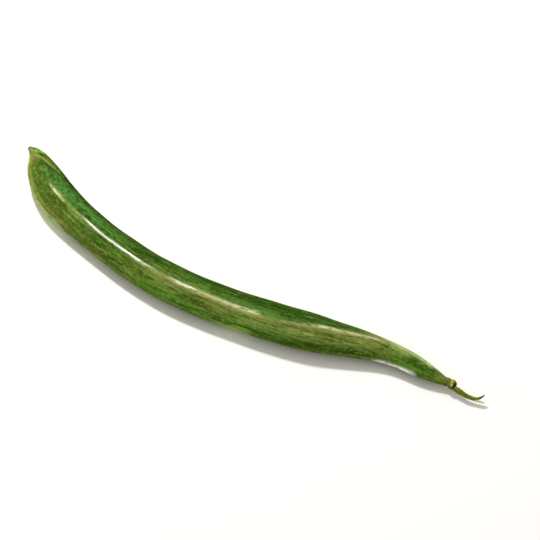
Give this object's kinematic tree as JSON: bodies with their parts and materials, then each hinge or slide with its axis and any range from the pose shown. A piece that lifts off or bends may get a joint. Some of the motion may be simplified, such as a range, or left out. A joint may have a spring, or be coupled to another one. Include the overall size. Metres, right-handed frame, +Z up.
{
  "type": "broad bean pod",
  "caption": "Long slender bean pod, gently curved, lying on its side, with a small dry calyx and a thin curled stalk at one end.",
  "frame": {"origin": "centre of the pod's footprint on the surface it lies on", "axes": "+X along the pod's chord, from the blossom end to the stem end; +Z up through the pod's thickness"},
  "size_m": [0.2419, 0.0431, 0.0127],
  "materials": {
    "pod_skin": "satin",
    "calyx": "matte",
    "stalk": "matte"
  },
  "bodies": {
    "root": {"pod": "pod_skin", "calyx": "calyx", "stalk": "stalk"}
  },
  "joints": []
}
